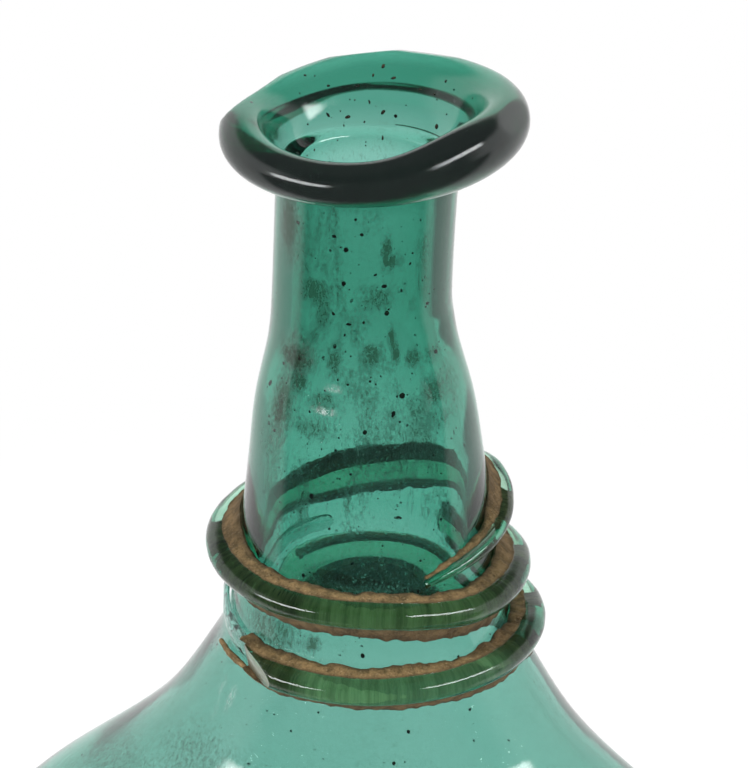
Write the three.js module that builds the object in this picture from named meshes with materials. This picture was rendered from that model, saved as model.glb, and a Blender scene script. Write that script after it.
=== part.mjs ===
// A saddle flask of free-blown teal glass: a flattened body on a pushed-up base, a tall neck that
// swells above its foot, a thick coil round the mouth, and a thread wound round the foot
// of the neck, part of it broken away, with burial soil left in its crevices.
// Millimetres. X runs along the wide side, Y through the thin side, and Z up from the table.
import * as THREE from "three";
import { LoftGeometry } from "three/addons/geometries/LoftGeometry.js";

// Gap kept between glass that touches, and between soil and the glass that it lies on
const seatGap = 0.3;

// Base: a pushed-up kick inside a worn flat ring
const ringOuterWide = 33;
const ringOuterThin = 27;
const ringWidth = 4.5;
const kickHeight = 11;
const kickWall = 5;
const ringWall = 4.6;

// Body: half sizes at its widest level
const bodyHalfWide = 76;
const bodyHalfThin = 50;
const widestHeight = 70;
const bodyWall = 2.2;
const shoulderWall = 1.6;

// Neck: its foot above the table, its length, outer radii and walls. Its bulb and its waist lie at
// shares of the length.
const neckFootHeight = 176;
const neckLength = 53.5;
const neckFootRadius = 16.9;
const neckFootWall = 3;
const bulbRiseShare = 0.2056;
const bulbRadius = 15.6;
const bulbWall = 2.4;
const waistRiseShare = 0.673;
const waistRadius = 11.7;
const neckTopRadius = 11.9;
const neckWall = 3;
const neckDrift = 1; // how far the hand-made neck leans off the middle at its waist
const driftTurn = THREE.MathUtils.degToRad(20); // the direction of that lean, from +X

// Coil round the mouth, and how far its middle lies above the neck's top
const coilLift = 5.6;
const coilRadius = 16.8;
const coilHalfWidth = 3.1;
const coilHalfHeight = 3.1;
const mouthRadius = 12.8;
const mouthEdgeDrop = 0.6;
const collarDrop = 4.2;
const coilOffset = 0.4;

// Thread wound round the foot of the neck, with its levels above and below that foot
const threadHalfDepth = 1.9;
const threadHalfHeight = 1.85;
const threadTopLift = 6.4;
const threadFrontDrop = 2;
const lowerTurnDrop = 12;
const remnantDrop = 7.6;
const remnantHalfHeight = 1.9;
const remnantDepth = 1.5;

// Soil packed beside the thread
const soilCrown = 0.4;
const soilScarDepth = 0.7;
const soilScarHalfHeight = 0.6;
const soilScarDrop = 13.2;

// Broken ring of glass left by the rod that held the base
const pontilRadius = 7;
const pontilHalfWidth = 1.6;
const pontilHalfHeight = 0.7;

// Facet counts
const aroundCount = 40;
const spanRows = 2;
const threadSides = 8;
const threadStepTurn = THREE.MathUtils.degToRad(10);

const glassColour = 0x2f8f78;
const threadColour = 0x1f6b52;
const soilColour = 0x8c7048;

const { lerp, degToRad } = THREE.MathUtils;

const neckTopHeight = neckFootHeight + neckLength;
const bulbHeight = neckFootHeight + bulbRiseShare * neckLength;
const waistHeight = neckFootHeight + waistRiseShare * neckLength;
const coilLevel = neckTopHeight + coilLift;
const threadTopLevel = neckFootHeight + threadTopLift;
const threadFrontLevel = neckFootHeight - threadFrontDrop;
const lowerTurnLevel = neckFootHeight - lowerTurnDrop;
const remnantLevel = neckFootHeight - remnantDrop;
const soilScarLevel = neckFootHeight - soilScarDrop;

// Outline of the wall from the flat ring to the top of the neck. Each station is a level, the half
// width, the half thickness, the wall and the lean.
// Below the widest level the half sizes go from the ring to the body, above it from the body to
// the neck's foot, as shares of those steps.
const lowerBodyShares = [
  // level, wide, thin
  [0.035, 0.14, 0.17],
  [0.16, 0.42, 0.44],
  [0.37, 0.7, 0.7],
  [0.66, 0.92, 0.93],
];
const upperBodyShares = [
  // level, wide, thin, towards the neck's foot
  [0.14, 0.97, 0.955],
  [0.33, 0.858, 0.76],
  [0.47, 0.72, 0.55],
  [0.604, 0.523, 0.357],
  [0.68, 0.351, 0.249],
  [0.755, 0.196, 0.153],
  [0.849, 0.083, 0.078],
  [0.896, 0.036, 0.042],
];
const footLiftShare = 0.942; // where the wall thins towards the shoulder
const footLiftWallShare = 1.35;
const footLiftSizeShare = 0.0155;
const bulbUnderShare = 0.5; // between the neck's foot and the bulb
const bulbUnderWallShare = 0.92;
const swellShares = [
  // level and radius from the bulb to the waist
  [0.16, 0.12],
  [0.33, 0.25],
  [0.46, 0.4],
  [0.6, 0.62],
  [0.74, 0.83],
  [0.87, 0.94],
];
const driftFootShare = -0.35;
const driftBulbShare = -0.4;
const driftTopShare = -0.25;

function station(level, wide, thin, wall, lean) {
  return { level, wide, thin, wall, lean };
}

function wallStations() {
  const list = [station(0, ringOuterWide, ringOuterThin, ringWall, 0)];
  for (const [up, wide, thin] of lowerBodyShares)
    list.push(
      station(
        up * widestHeight,
        lerp(ringOuterWide, bodyHalfWide, wide),
        lerp(ringOuterThin, bodyHalfThin, thin),
        lerp(ringWall, bodyWall, Math.sqrt(up)),
        0,
      ),
    );
  list.push(station(widestHeight, bodyHalfWide, bodyHalfThin, bodyWall, 0));
  for (const [up, wide, thin] of upperBodyShares)
    list.push(
      station(
        lerp(widestHeight, neckFootHeight, up),
        lerp(neckFootRadius, bodyHalfWide, wide),
        lerp(neckFootRadius, bodyHalfThin, thin),
        lerp(bodyWall, shoulderWall, up),
        0,
      ),
    );
  const liftRadius = lerp(neckFootRadius, bodyHalfWide, footLiftSizeShare);
  list.push(
    station(
      lerp(widestHeight, neckFootHeight, footLiftShare),
      liftRadius,
      liftRadius,
      shoulderWall * footLiftWallShare,
      (driftFootShare * neckDrift) / 2,
    ),
  );
  list.push(
    station(
      neckFootHeight,
      neckFootRadius,
      neckFootRadius,
      neckFootWall,
      driftFootShare * neckDrift,
    ),
  );
  const underRadius = lerp(neckFootRadius, bulbRadius, bulbUnderShare);
  list.push(
    station(
      lerp(neckFootHeight, bulbHeight, bulbUnderShare),
      underRadius,
      underRadius,
      neckFootWall * bulbUnderWallShare,
      driftFootShare * neckDrift,
    ),
  );
  list.push(station(bulbHeight, bulbRadius, bulbRadius, bulbWall, driftBulbShare * neckDrift));
  for (const [up, inward] of swellShares) {
    const radius = lerp(bulbRadius, waistRadius, inward);
    list.push(
      station(
        lerp(bulbHeight, waistHeight, up),
        radius,
        radius,
        lerp(bulbWall, neckWall, inward),
        lerp(driftBulbShare, -1, up) * neckDrift,
      ),
    );
  }
  list.push(station(waistHeight, waistRadius, waistRadius, neckWall, -neckDrift));
  list.push(
    station(neckTopHeight, neckTopRadius, neckTopRadius, neckWall, driftTopShare * neckDrift),
  );
  return list;
}

// A smooth run of rows through stations, each row with the same fields as a station.
function smoothRows(stations, rowsPerSpan) {
  const sizes = new THREE.CatmullRomCurve3(
    stations.map((s) => new THREE.Vector3(s.wide, s.thin, s.level)),
    false,
    "centripetal",
  );
  const rest = new THREE.CatmullRomCurve3(
    stations.map((s, i) => new THREE.Vector3(s.wall, s.lean, i)),
    false,
    "centripetal",
  );
  const rows = [];
  const count = (stations.length - 1) * rowsPerSpan;
  for (let i = 0; i <= count; i++) {
    const size = sizes.getPoint(i / count);
    const other = rest.getPoint(i / count);
    rows.push(station(size.z, size.x, size.y, other.x, other.y));
  }
  return rows;
}

const wallRows = smoothRows(wallStations(), spanRows);

// The kick rises from the ring's inner edge to a round dome.
const kickShares = [
  // distance from the middle, height
  [0, 1],
  [0.3, 0.93],
  [0.55, 0.72],
  [0.78, 0.38],
  [1, 0],
];
const ringInnerWide = ringOuterWide - ringWidth;
const ringInnerThin = ringOuterThin - ringWidth;
const kickRows = kickShares.map(([out, up]) =>
  station(
    up * kickHeight,
    out * lerp(ringInnerThin, ringInnerWide, out * out),
    out * ringInnerThin,
    lerp(ringWall, kickWall, up),
    0,
  ),
);

// The outside at a level: half sizes and lean, read between the rows of the wall.
function outsideAt(level) {
  let i = 1;
  while (i < wallRows.length - 1 && wallRows[i].level < level) i++;
  const a = wallRows[i - 1];
  const b = wallRows[i];
  const t = (level - a.level) / (b.level - a.level);
  return {
    wide: lerp(a.wide, b.wide, t),
    thin: lerp(a.thin, b.thin, t),
    lean: lerp(a.lean, b.lean, t),
  };
}

// A turn of zero faces the front (-Y), and turns grow towards +X.
function ovalRadius(wide, thin, turn) {
  return (wide * thin) / Math.hypot(thin * Math.sin(turn), wide * Math.cos(turn));
}

function placed(radius, turn, level, lean) {
  return new THREE.Vector3(
    radius * Math.sin(turn) + lean * Math.cos(driftTurn),
    -radius * Math.cos(turn) + lean * Math.sin(driftTurn),
    level,
  );
}

function turnsRound(count) {
  return Array.from({ length: count }, (_, i) => (i / count) * 2 * Math.PI);
}

// Vessel: the outside from the kick's dome to the neck's top, then back down the inside. The
// inside lies one wall in from the outside, square to it in both the wide and the thin outline.
const vesselTurns = turnsRound(aroundCount);

function ring(row) {
  return vesselTurns.map(
    (turn) =>
      new THREE.Vector3(
        row.wide * Math.sin(turn) + row.lean * Math.cos(driftTurn),
        -row.thin * Math.cos(turn) + row.lean * Math.sin(driftTurn),
        row.level,
      ),
  );
}

function innerRing(rows, i) {
  const before = rows[Math.max(i - 1, 0)];
  const after = rows[Math.min(i + 1, rows.length - 1)];
  const row = rows[i];
  const rise = after.level - before.level;
  const atMiddle = row.wide === 0;
  const wideStep = new THREE.Vector2(atMiddle ? 0 : rise, after.wide - before.wide).normalize();
  const thinStep = new THREE.Vector2(atMiddle ? 0 : rise, after.thin - before.thin).normalize();
  const last = i === rows.length - 1;
  return vesselTurns.map((turn) => {
    const share = Math.sin(turn) ** 2;
    const lift = last ? 0 : row.wall * lerp(thinStep.y, wideStep.y, share);
    return new THREE.Vector3(
      (row.wide - row.wall * wideStep.x) * Math.sin(turn) + row.lean * Math.cos(driftTurn),
      -(row.thin - row.wall * thinStep.x) * Math.cos(turn) + row.lean * Math.sin(driftTurn),
      row.level + lift,
    );
  });
}

function vesselGeometry() {
  const rows = [...kickRows, ...wallRows];
  const outside = rows.map(ring);
  const inside = rows.map((_, i) => innerRing(rows, i)).reverse();
  return new LoftGeometry([...outside, ...inside]);
}

// Mouth coil: it rises and swells unevenly, as shares of its own half height and half width at
// eight turns from the front towards +X.
const coilFrontTurn = degToRad(20);
const coilRiseShares = [-0.3, 0.3, 0.34, 0.24, 0.2, -0.36, -0.2, -0.4];
const coilHeightShares = [1.03, 1.36, 1.2, 1.03, 0.94, 0.88, 0.97, 0.94];
const coilWidthShares = [1, 1.18, 1.16, 1.03, 0.92, 0.9, 0.98, 0.97];
const coilArcTurns = [-125, -90, -60, -30, 0, 30, 60, 90, 120, 152].map(degToRad);
const mouthRiseShare = 0.6;
const funnelShares = [0.55, 0.4]; // how far down and in the funnel's middle lies
const collarFlareShare = 0.15;

// A smooth value round the mouth from shares at equal turns.
function roundShare(shares, turn) {
  const place = ((turn - coilFrontTurn) / (2 * Math.PI)) * shares.length;
  const i = Math.floor(place);
  const at = (k) => shares[THREE.MathUtils.euclideanModulo(i + k, shares.length)];
  const f = place - i;
  const slopeA = (at(1) - at(-1)) / 2;
  const slopeB = (at(2) - at(0)) / 2;
  const f2 = f * f;
  const f3 = f2 * f;
  return (
    (2 * f3 - 3 * f2 + 1) * at(0) +
    (f3 - 2 * f2 + f) * slopeA +
    (3 * f2 - 2 * f3) * at(1) +
    (f3 - f2) * slopeB
  );
}

function coilSection(turn) {
  const halfWidth = coilHalfWidth * roundShare(coilWidthShares, turn);
  const halfHeight = coilHalfHeight * roundShare(coilHeightShares, turn);
  const rise = coilHalfHeight * roundShare(coilRiseShares, turn);
  const bore = neckTopRadius - neckWall;
  const seat = neckTopHeight + seatGap;
  const mouthLevel = coilLevel - mouthEdgeDrop + rise * mouthRiseShare;
  const points = coilArcTurns.map((a) => [
    coilRadius + halfWidth * Math.cos(a),
    coilLevel + rise + halfHeight * Math.sin(a),
  ]);
  points.push([mouthRadius, mouthLevel]);
  points.push([
    lerp(mouthRadius, bore, funnelShares[1]),
    lerp(mouthLevel, seat, funnelShares[0]),
  ]);
  points.push([bore, seat]);
  points.push([neckTopRadius, seat]);
  points.push([
    lerp(neckTopRadius, coilRadius, collarFlareShare),
    coilLevel - collarDrop,
  ]);
  return points.reverse().map(([radius, level]) => {
    const up = THREE.MathUtils.smoothstep(level, seat, coilLevel);
    const lean = lerp(driftTopShare * neckDrift, coilOffset, up);
    return placed(radius, turn, level, lean);
  });
}

function coilGeometry() {
  const sections = turnsRound(aroundCount).map(coilSection);
  return new LoftGeometry([...sections, sections[0]]);
}

// Thread: a path of places, each with a turn, a level and the share of its full thickness. It
// lies against the wall with the seat gap between.
const upperThreadShares = [
  // degrees from the front, level as a share from the front to the top level, thickness share
  [45, 0.36, 0.14],
  [54, 0.45, 0.3],
  [69, 0.56, 0.46],
  [84, 0.67, 0.6],
  [110, 0.86, 0.72],
  [136, 1, 0.84],
  [165, 0.83, 0.95],
  [196, 0.58, 1],
  [245, 0.38, 1.02],
  [290, 0.24, 1.03],
  [335, 0.09, 1],
  [386, 0, 1],
  [425, -0.19, 1],
  [470, -0.18, 1],
  [505, -0.24, 0.98],
  [520, -0.27, 0.9],
];
const lowerThreadShares = [
  // degrees from the front, level above the lower turn's as a share of the thread, thickness share
  [-26, 0.12, 0.95],
  [-10, 0, 1],
  [20, -0.16, 1],
  [65, -0.16, 0.98],
  [110, 0.22, 1],
  [155, 0.3, 1],
  [200, 0.3, 0.98],
  [235, 0.2, 0.85],
  [246, 0.16, 0.5],
];
const remnantShares = [
  // degrees from the front, level above the remnant's as a share of its half height, depth share
  [218, 1.1, 0.5],
  [235, 1, 0.8],
  [258, 0.7, 0.9],
  [278, 0.35, 0.75],
  [296, -0.6, 0.5],
  [312, -1.2, 0.42],
  [326, -1.7, 0.35],
];

// A smooth path sampled at even turns through hand-placed points.
function pathThrough(shares, levelOf) {
  const points = shares.map(
    ([degrees, level, share]) => new THREE.Vector3(degToRad(degrees), levelOf(level), share),
  );
  const curve = new THREE.CatmullRomCurve3(points, false, "centripetal");
  const steps = Math.ceil((points[points.length - 1].x - points[0].x) / threadStepTurn);
  return curve.getPoints(steps).map((p) => ({ turn: p.x, level: p.y, share: p.z }));
}

const upperPath = pathThrough(upperThreadShares, (s) => lerp(threadFrontLevel, threadTopLevel, s));
const lowerPath = pathThrough(lowerThreadShares, (s) => lowerTurnLevel + s * threadHalfHeight);
const remnantPath = pathThrough(remnantShares, (s) => remnantLevel + s * remnantHalfHeight);

// Where the wall is beside a place of a path: its radius, how fast the radius grows downwards,
// and its lean.
function wallBeside(turn, level) {
  const probe = threadHalfHeight / 2;
  const here = outsideAt(level);
  const above = outsideAt(level + probe);
  const radius = ovalRadius(here.wide, here.thin, turn);
  const spread = (radius - ovalRadius(above.wide, above.thin, turn)) / probe;
  return { radius, spread, lean: here.lean };
}

// A band wound on the wall. Its section is given as points out from the wall and up from the
// band's middle, square to the wall.
function bandGeometry(path, sectionOf) {
  const sections = path.map((place) => {
    const wall = wallBeside(place.turn, place.level);
    const slope = Math.atan(wall.spread);
    return sectionOf(place).map(([out, up]) =>
      placed(
        wall.radius + out * Math.cos(slope) - up * Math.sin(slope),
        place.turn,
        place.level + up * Math.cos(slope) + out * Math.sin(slope),
        wall.lean,
      ),
    );
  });
  return new LoftGeometry(sections, { capStart: true, capEnd: true });
}

function threadSection({ share }) {
  const depth = threadHalfDepth * share;
  const height = threadHalfHeight * share;
  return turnsRound(threadSides).map((a) => [
    seatGap + depth - depth * Math.cos(a),
    height * Math.sin(a),
  ]);
}

// Broken stretch: a low ragged ridge where the thread tore off.
const ridgeSectionShares = [
  // out from the wall, up from the middle
  [0, -1],
  [0, 1],
  [0.7, 0.55],
  [1, -0.2],
  [0.45, -0.8],
];

function remnantSection({ share }) {
  return ridgeSectionShares.map(([out, up]) => [
    seatGap + remnantDepth * share * out,
    remnantHalfHeight * up,
  ]);
}

// Soil in the crevice above (side 1) or below (side -1) the thread: it fills from the wall to the
// thread, and stands a little above the thread's own height.
const underFlareShare = 1.8; // the wall flares under the thread, so the soil there stands off it
const creviceArcShares = [0, 0.2, 0.5]; // how far out along the thread's round the soil reaches
const crownOutShare = 0.4;

function creviceSection(side) {
  return ({ share }) => {
    const round = threadHalfDepth * share + seatGap;
    const roundUp = threadHalfHeight * share + seatGap;
    const crown = roundUp + soilCrown * share;
    const against = creviceArcShares.map((out) => {
      const inward = 1 - out - seatGap / round;
      return [seatGap + round * out, roundUp * Math.sqrt(1 - inward * inward)];
    });
    const crownOut = seatGap * (side > 0 ? 1 : underFlareShare);
    const points = [...against, [seatGap + round * crownOutShare, crown], [crownOut, crown]];
    const turned = points.map(([out, up]) => [out, side * up]);
    return side > 0 ? turned.reverse() : turned;
  };
}

function soilScarSection() {
  return [
    [seatGap, -soilScarHalfHeight],
    [seatGap, soilScarHalfHeight],
    [seatGap + soilScarDepth, soilScarHalfHeight / 2],
    [seatGap + soilScarDepth, -soilScarHalfHeight / 2],
  ];
}

const soilScarShares = [
  // degrees from the front, level above the line's as a share of its half height, thickness share
  [-58, 0.9, 1],
  [-45, 0.4, 1],
  [-33, 0, 1],
];
const soilScarPath = pathThrough(soilScarShares, (s) => soilScarLevel + s * soilScarHalfHeight);

// Pontil mark: a broken ring of glass under the kick.
function pontilGeometry() {
  const out = pontilRadius + pontilHalfWidth;
  const i = kickRows.findIndex((row) => row.wide > out);
  const t = (out - kickRows[i - 1].wide) / (kickRows[i].wide - kickRows[i - 1].wide);
  const under = lerp(kickRows[i - 1].level, kickRows[i].level, t);
  const level = under - seatGap - pontilHalfHeight;
  const profile = turnsRound(threadSides).map(
    (a) =>
      new THREE.Vector2(
        pontilRadius + pontilHalfWidth * Math.cos(a),
        level + pontilHalfHeight * Math.sin(a),
      ),
  );
  return new THREE.LatheGeometry([...profile, profile[0]], aroundCount / 2).rotateX(Math.PI / 2);
}

// Soil lies along these stretches of the thread, in degrees from the front.
const upperTopStretch = [60, 515];
const upperUnderStretch = [110, 515];
const lowerStretch = [-22, 230];

function stretchOf(path, [from, to]) {
  return path.filter(({ turn }) => turn >= degToRad(from) && turn <= degToRad(to));
}

function addSoil(name, path, stretch, side) {
  add(name, bandGeometry(stretchOf(path, stretch), creviceSection(side)), soil());
}

function glass(colour) {
  return new THREE.MeshStandardMaterial({
    color: colour,
    roughness: 0.06,
    metalness: 0,
    transparent: true,
    opacity: 0.6,
  });
}

function soil() {
  return new THREE.MeshStandardMaterial({ color: soilColour, roughness: 1, metalness: 0 });
}

const flask = new THREE.Group();

function add(name, geometry, material) {
  const mesh = new THREE.Mesh(geometry, material);
  mesh.name = name;
  flask.add(mesh);
}

add("vessel", vesselGeometry(), glass(glassColour));
add("mouth_coil", coilGeometry(), glass(threadColour));
add("thread_upper", bandGeometry(upperPath, threadSection), glass(threadColour));
add("thread_lower", bandGeometry(lowerPath, threadSection), glass(threadColour));
add("thread_remnant", bandGeometry(remnantPath, remnantSection), glass(threadColour));
addSoil("soil_upper_top", upperPath, upperTopStretch, 1);
addSoil("soil_upper_under", upperPath, upperUnderStretch, -1);
addSoil("soil_lower_top", lowerPath, lowerStretch, 1);
addSoil("soil_lower_under", lowerPath, lowerStretch, -1);
add("soil_scar", bandGeometry(soilScarPath, soilScarSection), soil());
add("pontil_mark", pontilGeometry(), glass(threadColour));

export default flask;
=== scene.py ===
import math
import random

import bmesh
import bpy
from mathutils import Matrix, Vector, noise
from mathutils.bvhtree import BVHTree


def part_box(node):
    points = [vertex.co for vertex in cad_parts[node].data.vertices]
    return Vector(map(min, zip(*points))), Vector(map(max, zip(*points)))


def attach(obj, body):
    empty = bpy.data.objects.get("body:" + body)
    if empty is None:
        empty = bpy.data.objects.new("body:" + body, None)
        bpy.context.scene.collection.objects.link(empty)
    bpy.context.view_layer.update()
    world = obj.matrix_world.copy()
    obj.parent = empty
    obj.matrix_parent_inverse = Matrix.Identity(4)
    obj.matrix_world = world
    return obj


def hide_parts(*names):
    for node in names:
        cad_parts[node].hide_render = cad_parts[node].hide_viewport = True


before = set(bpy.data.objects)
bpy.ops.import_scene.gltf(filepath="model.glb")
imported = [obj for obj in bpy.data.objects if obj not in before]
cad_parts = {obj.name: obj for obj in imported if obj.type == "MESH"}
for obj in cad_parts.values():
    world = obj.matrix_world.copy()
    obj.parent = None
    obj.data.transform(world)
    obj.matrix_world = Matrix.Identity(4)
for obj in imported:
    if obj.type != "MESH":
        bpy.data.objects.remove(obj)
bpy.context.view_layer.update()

MM = 0.001
BODY = "root"


# Camera
CAMERA_AIM = Vector((0.549, 0.2, 198.5)) * MM
CAMERA_TURN = math.radians(20)
CAMERA_TILT = math.radians(25)
CAMERA_DISTANCE = 1.2
CAMERA_LENS = 433


def direction(turn, tilt=0):
    """The way from the flask to a place round it. At a turn of zero it is -Y, and turns grow towards +X."""
    flat = math.cos(tilt)
    return Vector((math.sin(turn) * flat, -math.cos(turn) * flat, math.sin(tilt)))


def make_camera():
    data = bpy.data.cameras.new("camera")
    data.lens = CAMERA_LENS
    data.clip_end = 100
    camera = bpy.data.objects.new("camera", data)
    back = direction(CAMERA_TURN, CAMERA_TILT)
    camera.location = CAMERA_AIM + back * CAMERA_DISTANCE
    camera.rotation_mode = "QUATERNION"
    camera.rotation_quaternion = (-back).to_track_quat("-Z", "Y")
    bpy.context.scene.collection.objects.link(camera)
    bpy.context.scene.camera = camera


# Node trees
def wire(tree, *links):
    """Links (node, output) to (node, input), by name or number."""
    for (a, out), (b, into) in links:
        tree.links.new(a.outputs[out], b.inputs[into])


def node(tree, kind, **settings):
    """A new node. Settings named i_ and a number are its inputs, and the others are its own."""
    made = tree.nodes.new("ShaderNode" + kind)
    for key, value in settings.items():
        if key.startswith("i_"):
            made.inputs[int(key[2:])].default_value = value
        else:
            setattr(made, key, value)
    return made


def maths(tree, operation, a, b=0.0):
    """The output of a Math node on two values, each a number or an output."""
    made = node(tree, "Math", operation=operation)
    for place, value in ((0, a), (1, b)):
        if isinstance(value, (int, float)):
            made.inputs[place].default_value = value
        else:
            tree.links.new(value, made.inputs[place])
    return made.outputs[0]


def between(tree, value, low, high):
    """Goes smoothly from 0 to 1 while the value goes from low to high."""
    made = node(tree, "MapRange", interpolation_type="SMOOTHSTEP", i_1=low, i_2=high)
    tree.links.new(value, made.inputs[0])
    return made.outputs[0]


def mixed(tree, factor, a, b):
    """A colour between two, each a colour or an output."""
    made = node(tree, "Mix", data_type="RGBA")
    tree.links.new(factor, made.inputs[0])
    for place, value in ((6, a), (7, b)):
        if isinstance(value, tuple):
            made.inputs[place].default_value = value
        else:
            tree.links.new(value, made.inputs[place])
    return made.outputs[2]


def towards(tree, way, place):
    """How far a place or direction lies along a way."""
    made = node(tree, "VectorMath", operation="DOT_PRODUCT", i_1=tuple(way))
    tree.links.new(place, made.inputs[0])
    return made.outputs["Value"]


def rest_of(tree, share):
    """What a share leaves of the whole."""
    return maths(tree, "SUBTRACT", 1.0, share)


# Light
LAMPS = [
    # name, turn and tilt in degrees, distance, width, height, watts
    ("lamp_left", -38, 32, 1.3, 0.35, 0.55, 11),
    ("lamp_right", 78, 30, 1.3, 0.3, 0.6, 9),
    ("lamp_back", 200, 48, 1.5, 0.7, 0.5, 10),
]
LAMP_AIM = Vector((0, 0, 0.15))
WORLD_LIGHT = 0.62
SWEEP_TOP = (0.42, 0.62)  # where the studio's white sweep ends and its dim ceiling starts
CEILING = 0.1  # the ceiling as mirrored in polished faces
CEILING_THROUGH = 0.8  # and as seen through the glass
FRONT = direction(CAMERA_TURN)  # the side that the flask is seen from
FRONT_ROOM = 0.14  # what polished faces see of the room in front of the flask
FRONT_SIDE = (0.1, 0.5)  # where that side fades in, as cosines of the angle from the front
SOFT_BOXES = [
    # turn and tilt in degrees, half width, half height, strength
    (-37, 11.5, 0.42, 0.1, 12),
    (80, 33, 0.42, 0.09, 12),
]
BOX_EDGE = (1.15, 0.75)  # where a soft box fades in, as shares of its half size


def make_lamps():
    """Lamps that light the surfaces and cast the shadow, but don't show in the glass or through it."""
    for name, turn, tilt, distance, width, height, watts in LAMPS:
        data = bpy.data.lights.new(name, "AREA")
        data.shape = "RECTANGLE"
        data.size, data.size_y, data.energy = width, height, watts
        lamp = bpy.data.objects.new(name, data)
        way = direction(math.radians(turn), math.radians(tilt))
        lamp.location = LAMP_AIM + way * distance
        lamp.rotation_mode = "QUATERNION"
        lamp.rotation_quaternion = way.to_track_quat("Z", "Y")
        lamp.visible_glossy = False
        lamp.visible_transmission = False
        bpy.context.scene.collection.objects.link(lamp)


def soft_box(tree, place, box):
    """The box's strength inside a rectangle of the world, and nought outside it, with soft edges."""
    turn, tilt, half_wide, half_high, strength = box
    turn, tilt = math.radians(turn), math.radians(tilt)
    way = direction(turn, tilt)
    ahead = maths(tree, "MAXIMUM", towards(tree, way, place), 0.01)
    across = towards(tree, direction(turn + math.pi / 2), place)
    upward = towards(tree, direction(turn, tilt + math.pi / 2), place)
    inside = []
    for reach, half in ((across, half_wide), (upward, half_high)):
        share = maths(tree, "DIVIDE", maths(tree, "ABSOLUTE", reach), ahead)
        inside.append(between(tree, share, half * BOX_EDGE[0], half * BOX_EDGE[1]))
    return maths(tree, "MULTIPLY", maths(tree, "MULTIPLY", *inside), strength)


def make_world():
    """Even light for the surfaces. The camera sees white. Light through the glass comes from a white sweep
    and the ceiling above it. Polished faces mirror those, the soft boxes, and the dim room in front."""
    world = bpy.data.worlds.new("studio")
    world.use_nodes = True
    tree = world.node_tree
    tree.nodes.clear()
    out = node(tree, "OutputWorld")
    place = node(tree, "TexCoord").outputs["Generated"]
    path = node(tree, "LightPath").outputs
    split = node(tree, "SeparateXYZ")
    tree.links.new(place, split.inputs[0])
    high = between(tree, split.outputs["Z"], *SWEEP_TOP)
    sweep = rest_of(tree, maths(tree, "MULTIPLY", high, 1 - CEILING))
    bright = rest_of(tree, maths(tree, "MULTIPLY", high, 1 - CEILING_THROUGH))
    front = between(tree, towards(tree, FRONT, place), *FRONT_SIDE)
    dim = rest_of(tree, maths(tree, "MULTIPLY", front, 1 - FRONT_ROOM))
    mirrored = maths(tree, "MULTIPLY", sweep, dim)
    for box in SOFT_BOXES:
        mirrored = maths(tree, "ADD", mirrored, soft_box(tree, place, box))
    through = path["Is Transmission Ray"]
    only_mirrored = maths(tree, "MULTIPLY", path["Is Glossy Ray"], rest_of(tree, through))
    light = maths(tree, "MULTIPLY", WORLD_LIGHT, rest_of(tree, path["Is Camera Ray"]))
    light = maths(tree, "ADD", light, path["Is Camera Ray"])
    for flag, value in ((through, bright), (only_mirrored, mirrored)):
        change = maths(tree, "MULTIPLY", flag, maths(tree, "SUBTRACT", value, light))
        light = maths(tree, "ADD", light, change)
    glow = node(tree, "Background", i_0=(1, 1, 1, 1))
    tree.links.new(light, glow.inputs[1])
    tree.links.new(glow.outputs[0], out.inputs[0])
    bpy.context.scene.world = world


# Floor
FLOOR_HALF = 6.0
FLOOR_WHITE = 0.9
SHADE_REACH = 0.42  # past this distance the floor runs out into the white of the backdrop
SHADE_START = SHADE_REACH * 0.3  # and here it starts to
FRONT_FLOOR = (0.0, 0.12)  # where the part in front of the flask begins, in metres from its axis
CARDS = [
    # dark cards on the floor, which the neck's edges show: turn in degrees, distance, reach, darkness
    (163, 0.52, 0.3, 0.9),
    (-123, 0.52, 0.3, 0.55),
]
CARD_CORE = 0.6  # the share of a card's reach that is wholly dark


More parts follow.
